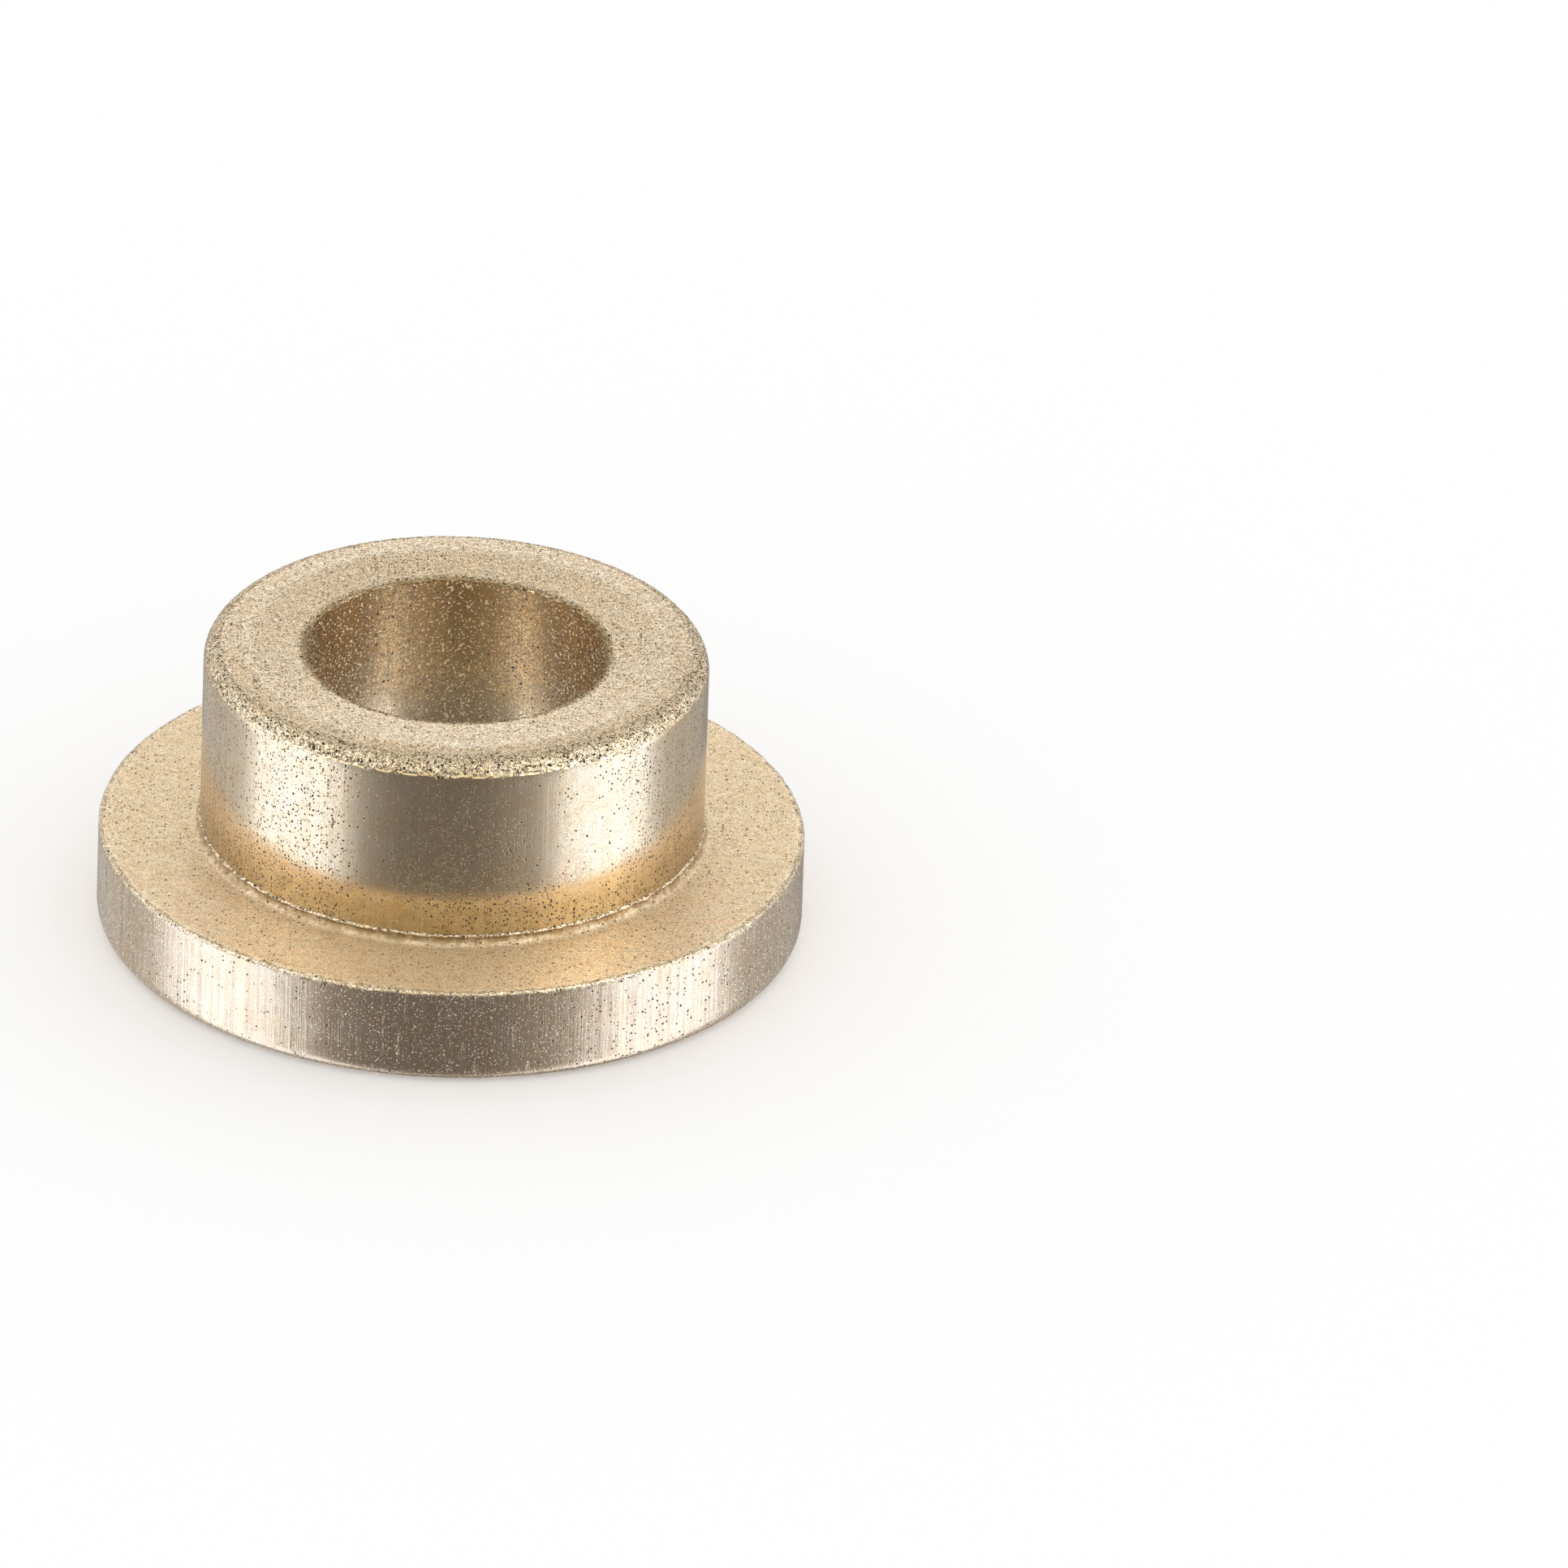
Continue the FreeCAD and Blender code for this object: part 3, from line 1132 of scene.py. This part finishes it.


# painted shade in the ridge's corner, and a darker bore brim
STAIN = MarkLook(Mark.STAIN, on_dull=0.9, on_bright=0.85, colour=(0.27, 0.178, 0.075))
# painted reflection of the flange on the wall's foot
FILM = MarkLook(Mark.FILM, on_dull=1.0, on_bright=0.65, colour=(0.288, 0.223, 0.117))
# painted highlights on the nose's crown and the flange's edge
BURNISH = MarkLook(Mark.BURNISH, on_dull=0.15, on_bright=0.8, colour=(1.0, 0.93, 0.78))
FINISHES = (
    BronzeFinish(
        Zone.NOSE_FACE, bright=(1.0, 0.845, 0.645), dull=(0.25, 0.19, 0.115),
        pit_shade_colour=(0.09, 0.065, 0.035), roughness=0.3, dull_roughness=0.4, marks=(BURNISH,),
        grain=GrainLook(size=0.023, depth=0.0008),
        pores=PoreLook(spacing=0.07, width=0.046, share=0.38, depth=0.007)),
    BronzeFinish(
        Zone.FLANGE_FACE, bright=(1.0, 0.855, 0.65), dull=(0.49, 0.396, 0.257),
        pit_shade_colour=(0.15, 0.11, 0.065), roughness=0.5, dull_roughness=0.62, marks=(STAIN, BURNISH),
        grain=GrainLook(size=0.022, depth=0.0014),
        pores=PoreLook(spacing=0.08, width=0.045, share=0.4, depth=0.005)),
    BronzeFinish(
        Zone.BODY_WALL, bright=(0.69, 0.55, 0.37), dull=(0.43, 0.34, 0.225),
        pit_shade_colour=(0.10, 0.078, 0.05), roughness=0.18, dull_roughness=0.26, marks=(FILM,),
        grain=GrainLook(size=0.026, depth=0.0002, fleck_level=0.77),
        pores=PoreLook(spacing=0.057, width=0.039, share=0.48, depth=0.0065, thinnest=0.2),
        lines=LineLook(width=0.04, depth=0.003, tone=0.34, roughness=0.3), stretch=0.8,
        fleck_colour=(0.9, 0.78, 0.6)),
    BronzeFinish(
        Zone.RIM_WALL, bright=(0.66, 0.52, 0.36), dull=(0.39, 0.30, 0.205),
        pit_shade_colour=(0.12, 0.09, 0.06), roughness=0.2, dull_roughness=0.3,
        grain=GrainLook(size=0.026, depth=0.0003, fleck_level=0.68),
        pores=PoreLook(spacing=0.07, width=0.042, share=0.36, depth=0.006),
        lines=LineLook(width=0.038, depth=0.009, tone=0.7, roughness=0.8), stretch=0.4,
        fleck_colour=(1.0, 0.88, 0.71), fleck_roughness=0.6),
    BronzeFinish(
        Zone.BORE_WALL, bright=(0.74, 0.58, 0.365), dull=(0.40, 0.315, 0.215),
        pit_shade_colour=(0.12, 0.09, 0.06), roughness=0.13, dull_roughness=0.42,
        grain=GrainLook(size=0.034, depth=0.001, fleck_level=0.635),
        pores=PoreLook(spacing=0.08, width=0.045, share=0.3, depth=0.006),
        lines=LineLook(width=0.05, depth=0.003, tone=0.2, roughness=0.4), stretch=0.1,
        fleck_roughness=0.85),
    BronzeFinish(
        Zone.BROKEN_EDGE, bright=(0.74, 0.635, 0.485), dull=(0.31, 0.24, 0.15),
        pit_shade_colour=(0.12, 0.09, 0.05), roughness=0.4, dull_roughness=0.55,
        grain=GrainLook(size=0.034, depth=0.004),
        pores=PoreLook(spacing=0.08, width=0.05, share=0.45, depth=0.008)),
    BronzeFinish(
        Zone.CRUMBLED_EDGE, bright=(0.79, 0.67, 0.50), dull=(0.15, 0.115, 0.065),
        pit_shade_colour=(0.05, 0.035, 0.02), roughness=0.5, dull_roughness=0.7, marks=(STAIN,),
        grain=GrainLook(size=0.026, depth=0.003),
        pores=PoreLook(spacing=0.075, width=0.056, share=0.46, depth=0.013, thinnest=1.0)),
    BronzeFinish(
        Zone.PARTING_RIDGE, bright=(0.80, 0.675, 0.51), dull=(0.22, 0.17, 0.115),
        pit_shade_colour=(0.08, 0.06, 0.04), roughness=0.5, dull_roughness=0.7,
        grain=GrainLook(size=0.045, depth=0.006),
        pores=PoreLook(spacing=0.09, width=0.07, share=0.6, depth=0.01, thinnest=0.9)),
)


@dataclass(frozen=True)
class Card:
    """A reflector or flag of the studio: a patch of a sphere around the object that only gloss sees.

    Azimuth is in degrees to the right of the camera's side, elevation in degrees over the horizon.
    """

    name: str
    azimuths: Point
    elevations: Point
    brightness: float
    tint: Colour = WHITE
    distance: float = 0.25
    steps: int = 16

    def build(self) -> bpy.types.Object:
        """Makes the patch: distance (cos e sin a, -cos e cos a, sin e) over its spans of angle.

        Returns:
            The card's object.
        """
        a = np.radians(np.linspace(*self.azimuths, self.steps + 1))[None, :]
        e = np.radians(np.linspace(*self.elevations, self.steps + 1))[:, None]
        points = np.stack([np.cos(e) * np.sin(a), -np.cos(e) * np.cos(a), np.sin(e) + 0 * a], axis=2)
        index = np.arange((self.steps + 1) ** 2).reshape(self.steps + 1, -1)
        quads = np.stack([index[:-1, :-1], index[1:, :-1], index[1:, 1:], index[:-1, 1:]], axis=2)
        mesh = bpy.data.meshes.new(self.name)
        places = (self.distance * points).reshape(-1, 3)
        mesh.from_pydata(places.tolist(), [], quads.reshape(-1, 4).tolist())
        material, wiring = new_material(self.name)
        material.node_tree.nodes.clear()
        glow = wiring.node("ShaderNodeEmission")
        wiring.feed(glow.inputs["Color"], self.tint)
        wiring.feed(glow.inputs["Strength"], self.brightness)
        wiring.feed(wiring.node("ShaderNodeOutputMaterial").inputs["Surface"], glow.outputs[0])
        material.cycles.emission_sampling = "NONE"
        mesh.materials.append(material)
        card = placed(self.name, mesh)
        card.visible_camera = card.visible_diffuse = card.visible_transmission = card.visible_shadow = False
        return card


@dataclass
class Studio:
    """Plain pale floor, white surround, two side softboxes and the flags that shape the gloss."""

    floor_size: float = 4.0
    floor_albedo: float = 0.9
    surround: float = 1.0
    cards: tuple[Card, ...] = (
        Card("front_flag", (-26, 22), (-88, 26), 0.24, (1.0, 0.96, 0.95)),
        Card("left_fall_off", (-46, -26), (-88, 26), 0.32, (1.0, 0.96, 0.95)),
        Card("right_fall_off", (22, 44), (-88, 26), 0.42, (1.0, 0.96, 0.95)),
        Card("left_softbox", (-103, -52), (-70, 4), 2.4, (0.88, 1.0, 1.23)),
        Card("left_softbox_top", (-103, -52), (4, 26), 1.35),
        Card("left_glow", (-110, -57), (26, 56), 3.4, (1.0, 1.02, 1.05)),
        Card("right_softbox", (52, 100), (-70, 4), 2.5, (0.88, 1.0, 1.23)),
        Card("right_softbox_top", (52, 100), (4, 26), 1.35),
        Card("right_glow", (48, 97), (26, 60), 5.5, (1.0, 1.02, 1.05)),
        Card("right_back_flag", (100, 155), (-88, 3), 0.62, (1.03, 1.03, 1.02)),
        Card("back_flag", (155, 198), (-88, 3), 0.3, (1.03, 1.03, 1.02)),
        Card("left_back_flag", (198, 256), (-88, 3), 0.7, (1.03, 1.03, 1.02)),
        Card("camera_side", (-57, 48), (26, 75), 1.4, (1.0, 0.975, 0.79)),
        Card("low_back", (90, 250), (3, 26), 1.4),
        Card("high_right_back", (90, 180), (26, 88), 0.85, (1.0, 0.94, 0.84)),
        Card("high_left_back", (180, 250), (26, 88), 0.92, (1.0, 0.94, 0.84)),
    )

    def build_floor(self) -> bpy.types.Object:
        """Makes the floor: a matt plane that turns white for the camera and keeps the object's shadow.

        Returns:
            The floor's object.
        """
        half = self.floor_size / 2
        mesh = bpy.data.meshes.new("floor")
        corners = [(-half, -half, 0), (half, -half, 0), (half, half, 0), (-half, half, 0)]
        mesh.from_pydata(corners, [], [(0, 1, 2, 3)])
        material, wiring = new_material("floor")
        shader = material.node_tree.nodes["Principled BSDF"].inputs
        wiring.feed(shader["Base Color"], (self.floor_albedo,) * 3)
        wiring.feed(shader["Roughness"], 1.0)
        wiring.feed(shader["Specular IOR Level"], 0.0)
        wiring.feed(shader["Emission Color"], WHITE)
        path = wiring.node("ShaderNodeLightPath").outputs
        mirrored = wiring.math("MAXIMUM", path["Is Glossy Ray"], path["Is Transmission Ray"])
        seen = wiring.math("MAXIMUM", path["Is Camera Ray"], mirrored)
        lift = 1.0 - self.floor_albedo * self.surround
        wiring.feed(shader["Emission Strength"], wiring.math("MULTIPLY", seen, lift))
        material.cycles.emission_sampling = "NONE"
        mesh.materials.append(material)
        floor = placed("floor", mesh)
        floor.visible_glossy = False
        return floor

    def build_surround(self) -> None:
        """Sets the even white world that lights the object and is its background."""
        world = bpy.data.worlds.new("surround")
        world.use_nodes = True
        background = world.node_tree.nodes["Background"].inputs
        background["Color"].default_value = (*WHITE, 1.0)
        background["Strength"].default_value = self.surround
        world.cycles.sampling_method = "NONE"
        bpy.context.scene.world = world

    def build(self) -> None:
        """Makes the floor, the surround and every card."""
        self.build_floor()
        self.build_surround()
        for card in self.cards:
            card.build()


@dataclass(frozen=True)
class PhotoCamera:
    """A long lens at the photograph's viewing angle, aimed so that the object sits left of the middle.

    Columns and rows are in the photograph's pixels, angles in degrees, the sensor in millimetres
    and distances in metres.
    """

    frame_pixels: float = 1932.0
    target_column: float = 558.2
    target_row: float = 961.2
    pixels_per_mm: float = 62.2
    distance: float = 0.6
    elevation: float = 28.23
    roll: float = 1.69
    sensor: float = 36.0
    nearest: float = 0.01
    furthest: float = 10.0

    def build(self, target: Vector) -> bpy.types.Object:
        """Makes the camera and the scene's view settings.

        The lens is sensor x distance x pixels per metre / frame. The camera first looks straight at
        the target, rolls about that line, and then turns until the target falls on its pixel.

        Args:
            target: The point of the object that falls on the target pixel.

        Returns:
            The camera's object.
        """
        tilt = math.radians(self.elevation)
        back = Vector((0, -math.cos(tilt), math.sin(tilt)))
        focal_pixels = self.pixels_per_mm * PER_METRE * self.distance
        middle = self.frame_pixels / 2
        aside = Vector((self.target_column - middle, middle - self.target_row, -focal_pixels)).normalized()
        swing = Vector((0, 0, -1)).rotation_difference(aside)
        roll = Quaternion((0, 0, 1), math.radians(self.roll))
        data = bpy.data.cameras.new("photo_camera")
        data.sensor_width = self.sensor
        data.lens = self.sensor * focal_pixels / self.frame_pixels
        data.clip_start = self.nearest
        data.clip_end = self.furthest
        camera = placed("photo_camera", data)
        camera.rotation_mode = "QUATERNION"
        camera.rotation_quaternion = (-back).to_track_quat("-Z", "Y") @ roll @ swing.inverted()
        camera.location = target + back * self.distance
        bpy.context.scene.camera = camera
        bpy.context.scene.view_settings.view_transform = "Standard"
        return camera


def report(piece: bpy.types.Object) -> None:
    """Logs a piece's name and face count."""
    log.info("%s: %d faces", piece.name, len(piece.data.polygons))


def main() -> None:
    """Builds the bushing, its finishes, the studio and the camera."""
    logging.basicConfig(level=logging.INFO)
    sizes = SectionSizes.from_frame()
    bushing = BushingBody(sizes)
    piece = bushing.build()
    effects = PressedGrain(), OpenPores(), DrawLines()
    bushing.dress({finish.zone: finish.material(*effects) for finish in FINISHES})
    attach(piece, BODY_NAME)
    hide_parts(NODE_NAME)
    report(piece)
    Studio().build()
    PhotoCamera().build(Vector((0, 0, sizes.overall_length / 2 * MM)))


if __name__ == "__main__":
    main()
